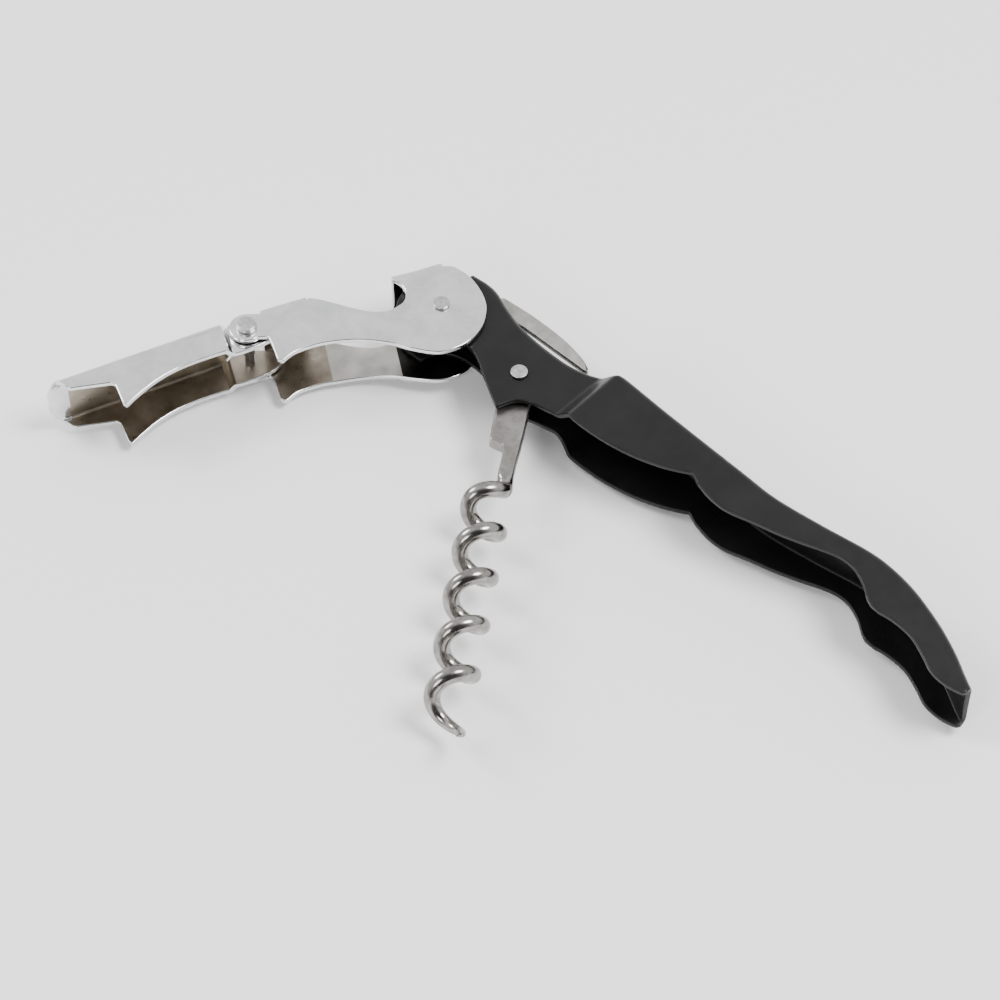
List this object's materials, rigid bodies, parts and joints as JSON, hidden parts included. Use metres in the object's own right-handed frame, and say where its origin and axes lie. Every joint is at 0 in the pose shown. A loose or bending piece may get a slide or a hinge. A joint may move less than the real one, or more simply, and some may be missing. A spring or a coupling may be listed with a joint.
{
  "type": "lever corkscrew",
  "caption": "Folding two-step lever corkscrew: channel handle with finger grooves, jointed levers with a cap lifter, spiral worm and foil knife.",
  "frame": {"origin": "on the outside of the handle's lower cheek, 40 mm behind the lever pivot, where the tool's flank is flat", "axes": "+X from the lever pivot to the handle's tail, +Y towards the handle's closed back, +Z through the tool's thickness; the tool lies on its flank with the worm swung out and the levers half open"},
  "size_m": [0.1388, 0.0664, 0.0125],
  "materials": {
    "black_paint": "glossy black baked paint on pressed steel",
    "bright_plating": "bright nickel plating on pressed steel",
    "worm_steel": "polished hardened steel wire",
    "blade_steel": "satin blade steel",
    "rivet_steel": "satin steel, peened heads"
  },
  "bodies": {
    "handle_body": {"handle": "black_paint", "lever_rivet": "rivet_steel", "worm_rivet": "rivet_steel", "knife_washer_top": "rivet_steel", "knife_washer_bottom": "rivet_steel", "worm_washer_top": "rivet_steel", "worm_washer_bottom": "rivet_steel"},
    "first_lever_body": {"upper_lever": "bright_plating", "hinge_rivet": "rivet_steel"},
    "second_lever_body": {"lower_lever": "bright_plating"},
    "worm_body": {"worm": "worm_steel"},
    "knife_body": {"foil_knife": "blade_steel"}
  },
  "joints": [
    {"name": "lever_pivot", "type": "hinge", "parent": "handle_body", "child": "first_lever_body", "pos_m": [-0.04, -0.002, 0.0053], "axis": [0, 0, 1], "range_deg": [-15, 108]},
    {"name": "lever_hinge", "type": "hinge", "parent": "first_lever_body", "child": "second_lever_body", "pos_m": [-0.05784, -0.02711, 0.0053], "axis": [0, 0, 1], "range_deg": [-85, 6]},
    {"name": "worm_pivot", "type": "hinge", "parent": "handle_body", "child": "worm_body", "pos_m": [-0.02215, -0.00315, 0.0053], "axis": [0, 0, 1], "range_deg": [-8.1, 58]},
    {"name": "knife_pivot", "type": "hinge", "parent": "handle_body", "child": "knife_body", "pos_m": [-0.04, -0.002, 0.0053], "axis": [0, 0, 1], "range_deg": [0, 88]}
  ],
  "couplings": [
    {"joint": "worm_pivot", "follows": "lever_pivot", "ratio": 0.537}
  ]
}
